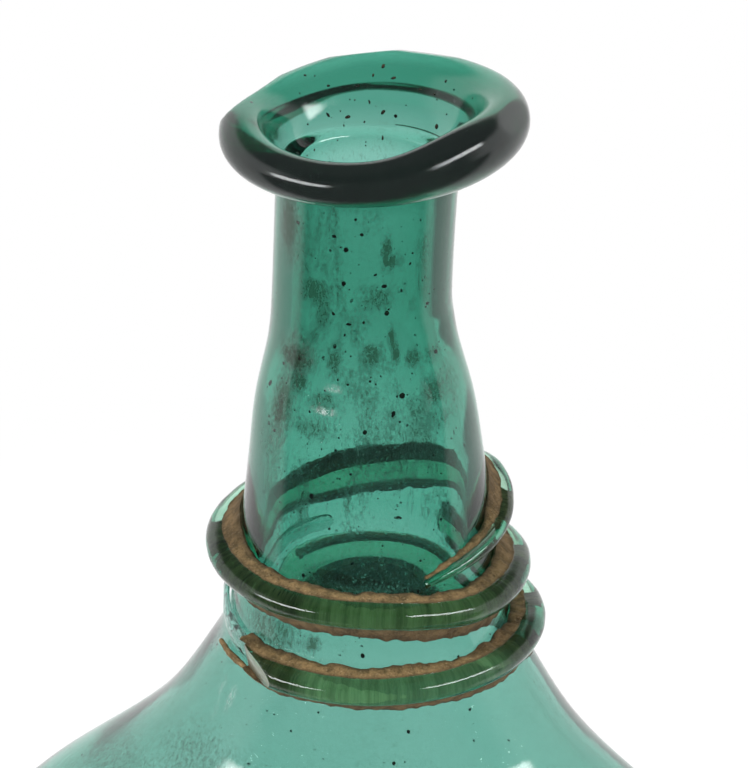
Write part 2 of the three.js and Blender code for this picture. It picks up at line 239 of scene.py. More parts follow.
def floor_material():
    """White paper. Its front is mirrored as dim as the room, and the dark cards show only to light that
    was turned back inside the glass."""
    material, tree, out = new_material("floor_paper")
    place = node(tree, "TexCoord").outputs["Object"]
    path = node(tree, "LightPath").outputs
    far = node(tree, "VectorMath", operation="LENGTH")
    tree.links.new(place, far.inputs[0])
    fade = between(tree, far.outputs["Value"], SHADE_START, SHADE_REACH)
    through = path["Is Transmission Ray"]
    seen = maths(tree, "MAXIMUM", path["Is Camera Ray"], path["Is Glossy Ray"])
    seen = maths(tree, "MAXIMUM", seen, through)
    only_mirrored = maths(tree, "MULTIPLY", path["Is Glossy Ray"], rest_of(tree, through))
    front = between(tree, towards(tree, FRONT, place), *FRONT_FLOOR)
    dim = maths(tree, "MULTIPLY", only_mirrored, front)
    turned = maths(tree, "GREATER_THAN", path["Glossy Depth"], 0.5)
    turned = maths(tree, "MULTIPLY", turned, through)
    for turn, distance, reach, darkness in CARDS:
        middle = tuple(direction(math.radians(turn)) * distance)
        aside = node(tree, "VectorMath", operation="DISTANCE", i_1=middle)
        tree.links.new(place, aside.inputs[0])
        card = between(tree, aside.outputs["Value"], reach, reach * CARD_CORE)
        card = maths(tree, "MULTIPLY", card, darkness)
        dim = maths(tree, "MAXIMUM", dim, maths(tree, "MULTIPLY", card, turned))
    paper = node(tree, "BsdfDiffuse", i_0=(FLOOR_WHITE, FLOOR_WHITE, FLOOR_WHITE, 1))
    glow = node(tree, "Emission", i_0=(1, 1, 1, 1), i_1=1.0)
    room = node(tree, "Emission", i_0=(1, 1, 1, 1), i_1=FRONT_ROOM)
    lit = node(tree, "MixShader")
    shown = node(tree, "MixShader")
    tree.links.new(maths(tree, "MULTIPLY", seen, fade), lit.inputs[0])
    tree.links.new(dim, shown.inputs[0])
    wire(
        tree,
        ((paper, 0), (lit, 1)),
        ((glow, 0), (lit, 2)),
        ((lit, 0), (shown, 1)),
        ((room, 0), (shown, 2)),
        ((shown, 0), (out, 0)),
    )
    return material


def make_floor():
    """A wide floor of white paper under the flask."""
    bm = bmesh.new()
    bmesh.ops.create_grid(bm, x_segments=8, y_segments=8, size=FLOOR_HALF)
    floor = finished(bm, "floor", floor_material(), smooth=False)


# Materials
GLASS_IOR = 1.52
TEAL = (0.11, 0.71, 0.59, 1)
TEAL_DENSITY = 450
ROD_SHARE = 0.52  # the thread's glass is paler than the vessel's
RIB_CELLS = (7, 0.25, 0.5)  # cells of the ribs' noise along the thread, up it and out, per millimetre
DULL_CELLS = (240, 240, 240)  # cells of the dull places' noise per metre
WEATHERED = (0.83, 0.83, 0.83, 1)  # what two worn faces let through
RUBBED = (0.92, 0.95, 0.93, 1)  # the foot of the neck is cleaner inside
FILM = (0.6, 0.72, 0.68, 1)  # and its upper part less so
MOUTH_TINT = (0.38, 0.57, 0.52, 1)
SHADOW_CLEAR = (0.92, 0.92, 0.92, 1)  # what one face lets through to a shadow
# the colour of smudges and stains, and of the stains that are painted shade
SMUDGE_AND_SHADE = (0.075, 0.06, 0.03, 1)
SPECK = (0.004, 0.006, 0.005, 1)
GRIT_BROWN = (0.035, 0.026, 0.014, 1)
RIB_CLEAN = (0.96, 0.95, 0.86, 1)
RIB_DUSTY = (0.72, 0.77, 0.57, 1)
SOIL_DARK = (0.1, 0.068, 0.03, 1)
SOIL_LIGHT = (0.27, 0.175, 0.08, 1)
SOIL_SAND = (0.38, 0.29, 0.17, 1)
SOIL_PIT = (0.05, 0.035, 0.018, 1)
# the soil's darker rims, and its painted shade
SOIL_RIM_AND_SHADE = (0.045, 0.032, 0.018, 1)
THROUGH_LIT_DARK = ((0.2, 0.15, 0.07, 1), (0.42, 0.32, 0.19, 1))  # painted light on the soil behind the upper and the lower thread
THROUGH_LIT_PALE = ((0.4, 0.3, 0.15, 1), (0.76, 0.58, 0.36, 1))
# Attributes of the meshes, which the materials read
INSIDE = "inside"  # 1 on the glass's inner face
WOUND = "wound"  # the place along a thread, its level and its distance from the axis
BROKEN = "broken"  # 1 on a fresh break
STAIN_AND_SHADE = "stain_and_shade"  # up to 1 in the stains of either face, three of which are painted shade
WORN = "worn"  # up to 1 in a chip or scratch of the outer face
BEHIND = "behind"  # up to 1 on the soil behind a thread, as its share of painted light
EDGE_AND_SHADE = "edge_and_shade"  # up to 1 where the soil runs out, and as painted shade where it meets a rod, under a rod and towards the flask's sides
# Levels in metres, each from nought to the full effect
LIP_LOW = 0.2295
LIP_HIGH = 0.233
NECK_FROM_FOOT = (0.17, 0.186)
NECK_BELOW_MOUTH = (0.232, 0.218)
UPPER_NECK = (0.188, 0.21)
MOUTH = (0.2262, 0.2302)
LOWER_THREAD_ONLY = (0.17, 0.168)


def new_material(name):
    """An empty material, its node tree and its output."""
    material = bpy.data.materials.new(name)
    material.use_nodes = True
    tree = material.node_tree
    tree.nodes.clear()
    return material, tree, node(tree, "OutputMaterial")


def glass_shader(tree, out, density):
    """Glass that takes its colour from its depth. Lamps shine through it. Returns its surface shader."""
    glass = node(tree, "BsdfPrincipled")
    glass.inputs["Base Color"].default_value = WEATHERED
    glass.inputs["Transmission Weight"].default_value = 1
    glass.inputs["Roughness"].default_value = 0.02
    glass.inputs["IOR"].default_value = GLASS_IOR
    depth = node(tree, "VolumeAbsorption", i_0=TEAL, i_1=density)
    clear = node(tree, "BsdfTransparent", i_0=SHADOW_CLEAR)
    path = node(tree, "LightPath")
    mix = node(tree, "MixShader")
    wire(
        tree,
        ((path, "Is Shadow Ray"), (mix, 0)),
        ((glass, 0), (mix, 1)),
        ((clear, 0), (mix, 2)),
        ((mix, 0), (out, 0)),
        ((depth, 0), (out, 1)),
    )
    return glass


def scaled_place(tree, scale):
    """Object coordinates, scaled per axis, in cells per metre."""
    place = node(tree, "TexCoord")
    mapping = node(tree, "Mapping")
    mapping.inputs["Scale"].default_value = scale
    wire(tree, ((place, "Object"), (mapping, 0)))
    return mapping.outputs[0]


def noise_on(tree, place, detail=4.0, roughness=0.6, distortion=0.0):
    """Cloudy noise with cells as large as the place's own units."""
    made = node(tree, "TexNoise")
    made.inputs["Scale"].default_value = 1.0
    made.inputs["Detail"].default_value = detail
    made.inputs["Roughness"].default_value = roughness
    made.inputs["Distortion"].default_value = distortion
    tree.links.new(place, made.inputs["Vector"])
    return made.outputs[0]


def specks(tree, place, share, radius):
    """Small irregular spots, one in each cell of the given share of cells."""
    ragged = node(tree, "TexNoise")
    ragged.inputs["Scale"].default_value = 4.0
    tree.links.new(place, ragged.inputs["Vector"])
    shifted = node(tree, "VectorMath", operation="MULTIPLY_ADD", i_1=(0.16, 0.16, 0.16))
    tree.links.new(ragged.outputs["Color"], shifted.inputs[0])
    tree.links.new(place, shifted.inputs[2])
    cells = node(tree, "TexVoronoi")
    cells.inputs["Scale"].default_value = 1.0
    tree.links.new(shifted.outputs[0], cells.inputs["Vector"])
    split = node(tree, "SeparateXYZ")
    tree.links.new(cells.outputs["Color"], split.inputs[0])
    chosen = maths(tree, "LESS_THAN", split.outputs["X"], share)
    size = maths(tree, "MULTIPLY", split.outputs["Y"], radius)
    size = maths(tree, "ADD", size, radius * 0.35)
    reach = maths(tree, "DIVIDE", cells.outputs["Distance"], size)
    return maths(tree, "MULTIPLY", chosen, between(tree, reach, 1.15, 0.8))


def raise_by(tree, height, shader, depth, strength):
    """Bumps a shader's surface: the depth is in millimetres, and the strength a number or an output."""
    bump = node(tree, "Bump")
    bump.inputs["Distance"].default_value = depth * MM
    if isinstance(strength, float):
        bump.inputs["Strength"].default_value = strength
    else:
        tree.links.new(strength, bump.inputs["Strength"])
    tree.links.new(height, bump.inputs["Height"])
    tree.links.new(bump.outputs[0], shader.inputs["Normal"])


def attribute(tree, name, output="Fac"):
    """One of the mesh's own attributes."""
    return node(tree, "Attribute", attribute_name=name).outputs[output]


def teal_glass():
    """The vessel: dust, smudges and black specks on its inner face, a few stains and worn spots outside,
    and stains that are painted shade below the coil and between the threads.
    """
    material, tree, out = new_material("teal_glass")
    glass = glass_shader(tree, out, TEAL_DENSITY)
    inside = attribute(tree, INSIDE)
    stain_and_shade = attribute(tree, STAIN_AND_SHADE)
    worn = attribute(tree, WORN)
    height = node(tree, "SeparateXYZ")
    wire(tree, ((node(tree, "TexCoord"), "Object"), (height, 0)))
    level = height.outputs["Z"]
    in_neck = between(tree, level, *NECK_FROM_FOOT)
    below_mouth = between(tree, level, *NECK_BELOW_MOUTH)
    neck = maths(tree, "MULTIPLY", in_neck, below_mouth)
    lip = between(tree, level, LIP_LOW, LIP_HIGH)

    # Smudges: streaks and patches, thicker in the neck, and the stains, three of which are painted shade,
    # all broken up by a fine grain
    streaky = noise_on(tree, scaled_place(tree, (170, 170, 50)), detail=6, roughness=0.7, distortion=0.6)
    patchy = noise_on(tree, scaled_place(tree, (80, 80, 50)), detail=2)
    grainy = noise_on(tree, scaled_place(tree, (2300, 2300, 1300)), detail=4, roughness=0.8)
    dirt_and_shade = maths(tree, "ADD", maths(tree, "MULTIPLY", streaky, 0.55), maths(tree, "MULTIPLY", patchy, 0.45))
    neck_share = maths(tree, "MULTIPLY", neck, 0.7)
    in_neck_dirt = maths(tree, "MULTIPLY", between(tree, dirt_and_shade, 0.44, 0.62), neck_share)
    on_body_dirt = maths(tree, "MULTIPLY", between(tree, dirt_and_shade, 0.52, 0.7), 0.25)
    dirt_and_shade = maths(tree, "MAXIMUM", in_neck_dirt, on_body_dirt)
    dirt_and_shade = maths(tree, "MAXIMUM", dirt_and_shade, stain_and_shade)
    grain = maths(tree, "MULTIPLY", maths(tree, "SUBTRACT", grainy, 0.5), 2.4)
    smudge_and_shade = between(tree, maths(tree, "ADD", maths(tree, "MULTIPLY", dirt_and_shade, 1.2), grain), 0.13, 1.14)
    # stains reach the outer face too, where the one below the coil is painted shade
    where = maths(tree, "MAXIMUM", inside, between(tree, stain_and_shade, 0.0, 0.3))
    smudge_and_shade = maths(tree, "MULTIPLY", maths(tree, "MULTIPLY", smudge_and_shade, where), 0.95)
    spots = specks(tree, scaled_place(tree, (520, 520, 420)), 0.3, 0.1)
    spots = maths(tree, "MULTIPLY", spots, inside)

    worn_in = mixed(tree, between(tree, level, *UPPER_NECK), RUBBED, FILM)
    colour = mixed(tree, maths(tree, "MULTIPLY", neck, inside), WEATHERED, worn_in)
    colour = mixed(tree, between(tree, level, *MOUTH), colour, MOUTH_TINT)
    colour = mixed(tree, smudge_and_shade, colour, SMUDGE_AND_SHADE)
    colour = mixed(tree, spots, colour, SPECK)
    tree.links.new(colour, glass.inputs["Base Color"])

    # How clear it is: less so in smudges and in the painted shade, on scuffs and on the lip, and not at all
    # in specks
    scuffed = maths(tree, "MULTIPLY", worn, between(tree, grainy, 0.4, 0.6))
    clear = rest_of(tree, maths(tree, "MULTIPLY", smudge_and_shade, 0.07))
    clear = maths(tree, "MULTIPLY", clear, rest_of(tree, spots))
    clear = maths(tree, "MULTIPLY", clear, rest_of(tree, maths(tree, "MULTIPLY", scuffed, 0.3)))
    clear = maths(tree, "SUBTRACT", clear, maths(tree, "MULTIPLY", lip, 0.02))
    tree.links.new(clear, glass.inputs["Transmission Weight"])
    dull = noise_on(tree, scaled_place(tree, DULL_CELLS), detail=5, roughness=0.7)
    dull = maths(tree, "ADD", 0.07, maths(tree, "MULTIPLY", between(tree, dull, 0.4, 0.7), 0.1))
    rough = maths(tree, "ADD", 0.02, maths(tree, "MULTIPLY", maths(tree, "MULTIPLY", smudge_and_shade, inside), 0.3))
    rough = maths(tree, "ADD", rough, maths(tree, "MULTIPLY", lip, dull))
    rough = maths(tree, "ADD", rough, maths(tree, "MULTIPLY", worn, 0.3))
    tree.links.new(rough, glass.inputs["Roughness"])

    # Long ripples from the blowing, and pits
    ripple = noise_on(tree, scaled_place(tree, (300, 300, 40)), detail=3)
    pits = noise_on(tree, scaled_place(tree, (2500, 2500, 2500)), detail=1)
    wear = maths(tree, "ADD", ripple, maths(tree, "MULTIPLY", between(tree, pits, 0.68, 0.78), -0.4))
    strength = maths(tree, "SUBTRACT", 0.6, maths(tree, "MULTIPLY", lip, 0.45))
    raise_by(tree, wear, glass, 0.03, strength)
    return material


def thread_glass():
    """The thread's rod: drawn glass with fine ribs across it, and dust in the lines."""
    material, tree, out = new_material("thread_glass")
    glass = glass_shader(tree, out, TEAL_DENSITY * ROD_SHARE)
    place = attribute(tree, WOUND, "Vector")
    mapping = node(tree, "Mapping")
    mapping.inputs["Scale"].default_value = RIB_CELLS
    tree.links.new(place, mapping.inputs[0])
    ribs = noise_on(tree, mapping.outputs[0], detail=4, roughness=0.65)
    colour = mixed(tree, between(tree, ribs, 0.3, 0.75), RIB_CLEAN, RIB_DUSTY)
    tree.links.new(colour, glass.inputs["Base Color"])
    raise_by(tree, ribs, glass, 0.008, 0.5)
    broken = attribute(tree, BROKEN)
    rough = maths(tree, "ADD", 0.03, maths(tree, "MULTIPLY", broken, 0.25))
    tree.links.new(rough, glass.inputs["Roughness"])
    clear = rest_of(tree, maths(tree, "MULTIPLY", broken, 0.2))
    tree.links.new(clear, glass.inputs["Transmission Weight"])
    return material


def broken_glass():
    """The torn ridge of the thread and the pontil's ring: rough glass with black specks."""
    material, tree, out = new_material("dark_teal_glass")
    glass = glass_shader(tree, out, TEAL_DENSITY)
    dull = noise_on(tree, scaled_place(tree, DULL_CELLS), detail=5, roughness=0.7)
    rough = maths(tree, "ADD", 0.06, maths(tree, "MULTIPLY", between(tree, dull, 0.45, 0.7), 0.22))
    tree.links.new(rough, glass.inputs["Roughness"])
    small = specks(tree, scaled_place(tree, (330, 330, 330)), 0.25, 0.07)
    colour = mixed(tree, small, WEATHERED, SPECK)
    tree.links.new(colour, glass.inputs["Base Color"])
    raise_by(tree, dull, glass, 0.05, 0.5)
    return material


def burial_soil():
    """Dry sandy soil, darker where it runs out, with painted shade where it meets and lies under a thread
    and towards the flask's sides, and painted light where it is seen through a thread.
    """
    material, tree, out = new_material("burial_soil")
    soil = node(tree, "BsdfPrincipled")
    coarse = noise_on(tree, scaled_place(tree, (700, 700, 700)), detail=5, roughness=0.7)
    fine = noise_on(tree, scaled_place(tree, (4200, 4200, 4200)), detail=2, roughness=0.7)
    colour = mixed(tree, between(tree, coarse, 0.35, 0.65), SOIL_DARK, SOIL_LIGHT)
    colour = mixed(tree, between(tree, fine, 0.58, 0.75), colour, SOIL_SAND)
    colour = mixed(tree, between(tree, fine, 0.42, 0.3), colour, SOIL_PIT)
    # darker rims, and painted shade where the soil meets and lies under a thread and towards the flask's
    # sides
    colour = mixed(tree, maths(tree, "MULTIPLY", attribute(tree, EDGE_AND_SHADE), 0.8), colour, SOIL_RIM_AND_SHADE)
    height = node(tree, "SeparateXYZ")
    wire(tree, ((node(tree, "TexCoord"), "Object"), (height, 0)))
    low = between(tree, height.outputs["Z"], *LOWER_THREAD_ONLY)
    # painted light on the soil seen through a thread
    dark = mixed(tree, low, *THROUGH_LIT_DARK)
    pale = mixed(tree, low, *THROUGH_LIT_PALE)
    through_lit = mixed(tree, between(tree, coarse, 0.3, 0.65), dark, pale)
    colour = mixed(tree, attribute(tree, BEHIND), colour, through_lit)
    tree.links.new(colour, soil.inputs["Base Color"])
    soil.inputs["Roughness"].default_value = 0.95
    grain = maths(tree, "ADD", coarse, maths(tree, "MULTIPLY", fine, 0.6))
    raise_by(tree, grain, soil, 0.2, 0.8)
    wire(tree, ((soil, 0), (out, 0)))
    return material


def black_grit():
    """Black specks with a touch of brown."""
    material, tree, out = new_material("black_grit")
    grit = node(tree, "BsdfPrincipled")
    tint = noise_on(tree, scaled_place(tree, (900, 900, 900)), detail=2)
    colour = mixed(tree, between(tree, tint, 0.4, 0.7), SPECK, GRIT_BROWN)
    tree.links.new(colour, grit.inputs["Base Color"])
    grit.inputs["Roughness"].default_value = 0.8
    wire(tree, ((grit, 0), (out, 0)))
    return material


# Shapes
def fade(value, low, high):
    """Goes evenly from 0 to 1 while the value goes from low to high."""
    return min(1, max(0, (value - low) / (high - low)))


def crumbs(place, cells):
    """Crumbly noise, with so many cells per metre."""
    return noise.fractal(place * cells, 0.8, 2.1, 4)


def finished(bm, name, material, smooth=True):
    """Turns the bmesh into an object at the origin."""
    mesh = bpy.data.meshes.new(name)
    bm.to_mesh(mesh)
    bm.free()
    mesh.materials.append(material)
    mesh.polygons.foreach_set("use_smooth", [smooth] * len(mesh.polygons))
    made = bpy.data.objects.new(name, mesh)
    bpy.context.scene.collection.objects.link(made)
    return made


def merged(name):
    """The CAD node's loose triangles joined into a closed mesh of quads."""
    bm = bmesh.new()
    bm.from_mesh(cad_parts[name].data)
    bmesh.ops.remove_doubles(bm, verts=bm.verts, dist=0.002 * MM)
    bmesh.ops.join_triangles(
        bm,
        faces=bm.faces,
        angle_face_threshold=math.radians(60),
        angle_shape_threshold=math.radians(120),
    )
    return bm


def subdivided(bm, levels):
    """The same mesh rounded by subdivision."""
    mesh = bpy.data.meshes.new("rough")
    bm.to_mesh(mesh)
    bm.free()
    rough = bpy.data.objects.new("rough", mesh)
    bpy.context.scene.collection.objects.link(rough)
    change = rough.modifiers.new("round", "SUBSURF")
    change.levels = change.render_levels = levels
    graph = bpy.context.evaluated_depsgraph_get()
    fine = bmesh.new()
    fine.from_object(rough, graph)
    bpy.data.objects.remove(rough)
    bpy.data.meshes.remove(mesh)
    return fine


VESSEL_SIDES = 40
ROUNDING = (2 + math.cos(2 * math.pi / VESSEL_SIDES)) / 3  # how far subdivision draws a ring in


def replace_node(piece, name):
    """Lets a piece stand for the CAD node of that name."""
    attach(piece, BODY)
    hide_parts(name)


KICK_TOP = 17 * MM
KICK_RADIUS = 30 * MM
WAVE = 0.07 * MM  # how uneven the blown walls are
WAVES_ACROSS = 120  # cells of the wave's noise per metre
WAVES_UP = 45
WAVE_START = 6 * MM  # below this level the waves fade out, so the foot stays flat
SEAT_FLAT = 0.01 * MM  # the seats' faces are flat to within this
SEAT_MIDDLE = 10.4 * MM  # between the rims of the neck's top
# The coil's lower side at the back: its level where it meets the neck, and its rise outwards
SMEAR_FOOT = 229.8 * MM
SMEAR_SLOPE = 0.6
SMEAR_NECK = 12 * MM  # the neck's radius there
SMEAR_INNER = 11.95 * MM  # what lies nearer to the axis stays as it is
SMEAR_TOP = 234 * MM  # and so does what lies higher
SMEAR_SIDE = (0.1, 0.5)  # where it fades in, as cosines of the angle from the back
FLAT_SHARE = 0.85  # how much of what stands beyond a flat place goes
TOOL_MARKS = [
    # turn and tilt in degrees of the flat places on the coil, and how deep they cut in millimetres
    (-98, 36, 1.3),
    (184, 70, 0.35),
    (214, 66, 0.5),
    (95, 40, 0.5),
]
# Marks on the glass: turn in degrees, level, half wide and half high in millimetres, strength.
# Stains are on the inner face, and outer stains and chips on the outer. Three of the stains are painted
# shade, below the coil and between the threads.
STAINS_AND_SHADE = [
    (-23, 215.3, 2.3, 1.7, 0.95), (-16, 212.4, 1, 1.7, 0.75), (-34, 208.5, 1.6, 1.8, 0.55),
    (-37, 205.1, 2.7, 1.5, 0.95), (-30, 202.4, 1.4, 1.5, 0.85), (-41, 197.8, 0.72, 2.9, 0.8),
    (-10, 200.4, 2.1, 1.5, 0.7), (-15, 197, 3, 1.5, 0.65), (-6, 206.2, 0.86, 2.2, 0.8),
    (25, 215.1, 2.2, 1.6, 0.75), (33, 221.4, 0.6, 2.2, 1), (37, 220, 0.6, 1.3, 1),
    (44, 219.6, 0.77, 1, 0.6), (13, 211.8, 1.3, 1.1, 0.5), (21, 207.2, 1.4, 1.6, 0.85),
    (37, 209.2, 0.45, 1.5, 1), (40, 207.1, 0.45, 1.5, 1), (54, 205.9, 0.95, 1.2, 0.85),
    (55, 213.5, 0.69, 1.3, 0.55), (68, 200.8, 1.7, 1.8, 0.85), (74, 205.6, 1.9, 1.3, 0.6),
    (65, 197.4, 2.8, 1.6, 0.55), (36, 198.7, 1.5, 1.5, 0.4), (35, 205.4, 0.99, 0.94, 0.5),
    # the stains at (-33, 220.5) and (-30, 168.2) are painted shade, below the coil and between the threads
    (-33, 220.5, 1.6, 3.8, 0.6), (-6.3, 168.2, 0.9, 0.9, 1), (-30, 168.2, 5, 2.4, 0.75),
    (25, 175.6, 6.9, 1, 0.6), (0, 175.8, 3.8, 1.2, 0.6), (-20, 191.1, 1.7, 2.7, 0.4),
    (4, 202.7, 1.2, 1, 0.4), (-44, 180.5, 0.87, 2.7, 0.5), (-74, 142, 11, 3.5, 0.5),
    (-48, 148, 8, 4, 0.45), (-20, 146, 7, 3, 0.4),
]
OUTER_STAINS_AND_SHADE = [
    # the stain at (-38, 224.4) is painted shade below the coil
    (-38, 224.4, 1.8, 4, 1), (-31, 206.5, 2.6, 2.2, 0.8), (-33, 199.8, 2, 4, 0.8),
    (79, 202, 1.6, 3.6, 0.5),
]
CHIPS = [
    (-0.7, 203.4, 0.8, 0.3, 1),
    (-5, 200.4, 1.2, 0.33, 1),
    (-60, 168, 1.2, 3, 0.8),
    (-52, 166, 0.5, 3, 0.8),
    (-66, 163, 2.2, 1.2, 0.7),
    (-40, 158, 0.25, 1.8, 0.9),
    (-46, 157.5, 0.25, 1.6, 0.9),
]
MARKED_FROM = 135 * MM  # no mark lies below this level
MARK_SPREAD = 1.2  # marks are this much larger than listed
MARK_FADE = (1.5, 0.4)  # where a mark begins and where it is full, in shares of that size


def mark_places(bm, name, marks, face):
    """Stores how far each vertex lies inside the listed marks, on the inner face (1) or the outer (0)."""
    layer = bm.verts.layers.float.get(name) or bm.verts.layers.float.new(name)
    inside = bm.verts.layers.float[INSIDE]
    for v in bm.verts:
        if v[inside] != face or v.co.z < MARKED_FROM:
            continue
        turn = math.degrees(math.atan2(v.co.x, -v.co.y))
        radius = v.co.to_2d().length / MM
        for mark_turn, level, wide, high, strength in marks:
            aside = math.radians((turn - mark_turn + 180) % 360 - 180) * radius
            above = v.co.z / MM - level
            reach = math.hypot(aside / (wide * MARK_SPREAD), above / (high * MARK_SPREAD))
            v[layer] = max(v[layer], strength * fade(reach, *MARK_FADE))


def mark_inside(bm):
    """Stores 1 on the vertices of the inner face, which look at the axis, or up under the kick."""
    layer = bm.verts.layers.float.new(INSIDE)
    for v in bm.verts:
        flat = Vector((v.co.x, v.co.y))
        facing = v.normal.to_2d().dot(flat.normalized()) if flat.length > 0 else 0
        over_kick = v.co.z < KICK_TOP and flat.length < KICK_RADIUS
        v[layer] = float(v.normal.z > 0) if over_kick else float(facing < 0)
    return layer


def join_mouth():
    """The vessel and the coil as one run of glass: the faces where they meet go, the rims are bridged."""
    bm = merged("vessel")
    coil = merged("mouth_coil")
    mesh = bpy.data.meshes.new("coil")
    coil.to_mesh(mesh)
    coil.free()
    bm.from_mesh(mesh)
    bpy.data.meshes.remove(mesh)
    seats = (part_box("vessel")[1].z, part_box("mouth_coil")[0].z)
    for seat in seats:
        flat = [f for f in bm.faces if all(abs(v.co.z - seat) < SEAT_FLAT for v in f.verts)]
        bmesh.ops.delete(bm, geom=flat, context="FACES")
    rims = [e for e in bm.edges if e.is_boundary]
    for outer in (True, False):
        pair = [e for e in rims if (e.verts[0].co.to_2d().length > SEAT_MIDDLE) == outer]
        bmesh.ops.bridge_loops(bm, edges=pair)
    bmesh.ops.recalc_face_normals(bm, faces=bm.faces)
    return bm


def flatten(bm, turn, tilt, cut):
    """Presses a flat place into the coil: all that lies beyond a plane goes nearly back to it."""
    way = direction(math.radians(turn), math.radians(tilt))
    lip = [v for v in bm.verts if v.co.z > LIP_LOW]
    far = max(v.co.dot(way) for v in lip) - cut * MM
    for v in lip:
        beyond = v.co.dot(way) - far
        if beyond > 0:
            v.co -= way * beyond * FLAT_SHARE


def smear_coil(bm):
    """Draws the coil's lower side down to the neck at the back, where it was pressed on."""
    bm.normal_update()
    behind = -FRONT.to_2d()
    for v in bm.verts:
        radius = v.co.to_2d().length
        faces_down = v.normal.z < 0 and v.normal.to_2d().dot(v.co.to_2d()) > 0
        if faces_down and radius > SMEAR_INNER and v.co.z < SMEAR_TOP:
            share = fade(v.co.to_2d().normalized().dot(behind), *SMEAR_SIDE)
            level = SMEAR_FOOT + SMEAR_SLOPE * (radius - SMEAR_NECK)
            if v.co.z > level:
                v.co.z += (level - v.co.z) * share


def make_vessel(material):
    """The flask's body, neck and mouth in one closed piece. Returns its surface, for what lies on it."""
    fine = subdivided(join_mouth(), 2)
    bmesh.ops.scale(fine, vec=(1 / ROUNDING, 1 / ROUNDING, 1), verts=fine.verts)
    smear_coil(fine)
    for turn, tilt, cut in TOOL_MARKS:
        flatten(fine, turn, tilt, cut)
    fine.normal_update()
    inside = mark_inside(fine)
    for v in fine.verts:
        side = 7 if v[inside] else 0  # so the two faces have waves of their own
        place = Vector((v.co.x * WAVES_ACROSS, v.co.y * WAVES_ACROSS, v.co.z * WAVES_UP + side))
        wave = noise.noise(place)
        v.co += v.normal * WAVE * (wave - 0.5) * min(1, v.co.z / WAVE_START)
    # inner and outer stains, three of them painted shade, and chips on the outer face
    mark_places(fine, STAIN_AND_SHADE, STAINS_AND_SHADE, 1)
    mark_places(fine, STAIN_AND_SHADE, OUTER_STAINS_AND_SHADE, 0)
    mark_places(fine, WORN, CHIPS, 0)
    outside = BVHTree.FromBMesh(fine)
    piece = finished(fine, "vessel_glass", material)
    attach(piece, BODY)
    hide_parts("vessel", "mouth_coil")
    return outside


# Grit on the inner face: turn in degrees, level, half wide and half high in millimetres
GRIT = [
    (2, 221.9, 0.32, 0.39), (0, 217.1, 0.29, 0.39), (-7, 223.6, 0.26, 0.26),
    (14, 224.2, 0.26, 0.23), (31, 216.8, 0.32, 0.26), (33, 212.9, 0.32, 0.45),
    (4, 211.5, 0.39, 0.19), (15, 211.8, 0.19, 0.26), (24, 218.5, 0.26, 0.19),
    (42, 201.4, 0.39, 0.45), (35, 199.3, 0.26, 0.52), (17, 197.3, 0.32, 0.32),
    (39, 198.2, 0.19, 0.19), (-56, 199.9, 0.32, 0.58), (-42, 194.8, 0.32, 0.26),
    (78, 205.5, 0.32, 0.39), (-6, 208.2, 0.26, 0.39), (-47, 203.5, 0.19, 0.26),
    (-33, 205.3, 0.26, 0.32), (-40, 224.0, 0.32, 0.32), (5, 203.2, 0.19, 0.19),
    (20, 203.7, 0.19, 0.19), (-8, 212.8, 0.19, 0.32), (72, 212.8, 0.26, 0.26),
    (-12, 188.1, 0.39, 0.45), (11, 179.5, 0.26, 0.19), (17, 167.4, 0.32, 0.45),
    (35, 157.4, 0.26, 0.32), (29, 153.5, 0.26, 0.26), (61, 165.4, 0.19, 0.26),
    (-1, 159.3, 0.19, 0.19), (-12, 156.2, 0.19, 0.19), (47, 179.2, 0.19, 0.19),
    (4, 161.0, 0.13, 0.19), (-176, 171.4, 0.58, 0.45), (-176, 174.3, 0.19, 0.39),
    (-178, 175.1, 0.19, 0.26), (163, 177.0, 0.19, 0.19), (-137, 169.5, 0.19, 0.26),
    (-157, 167.4, 0.19, 0.13), (-132, 232.2, 0.19, 0.39), (-141, 230.9, 0.13, 0.26),
    (-178, 231.9, 0.26, 0.26), (148, 232.0, 0.39, 0.32), (-160, 233.2, 0.13, 0.39),
    (-167, 237.2, 0.26, 0.39), (-137, 235.3, 0.26, 0.19), (-151, 233.5, 0.13, 0.13),
    (-169, 232.2, 0.26, 0.39), (156, 236.9, 0.19, 0.26), (148, 236.4, 0.13, 0.13),
    (160, 235.1, 0.32, 0.13), (170, 235.2, 0.19, 0.16), (-162, 236.2, 0.13, 0.26),
    (-173, 236.0, 0.39, 0.19), (-153, 235.0, 0.39, 0.13), (-115, 231.8, 0.13, 0.13),
    (-171, 229.5, 0.13, 0.32), (-133, 229.5, 0.13, 0.13), (-157, 228.9, 0.13, 0.13),
    (-127, 236.6, 0.19, 0.16), (-145, 231.7, 0.39, 0.26),
]
FINE_GRIT = [
    # how many, from and to which level, and the largest half width in millimetres
    (230, 188, 229, 0.17),
    (60, 228, 237, 0.15),
    (150, 164, 188, 0.16),
    (200, 115, 166, 0.17),
]
GRIT_HALF_DEPTH = 0.1
GRIT_RAGGED = 0.45  # how uneven a speck is, as a share of its size


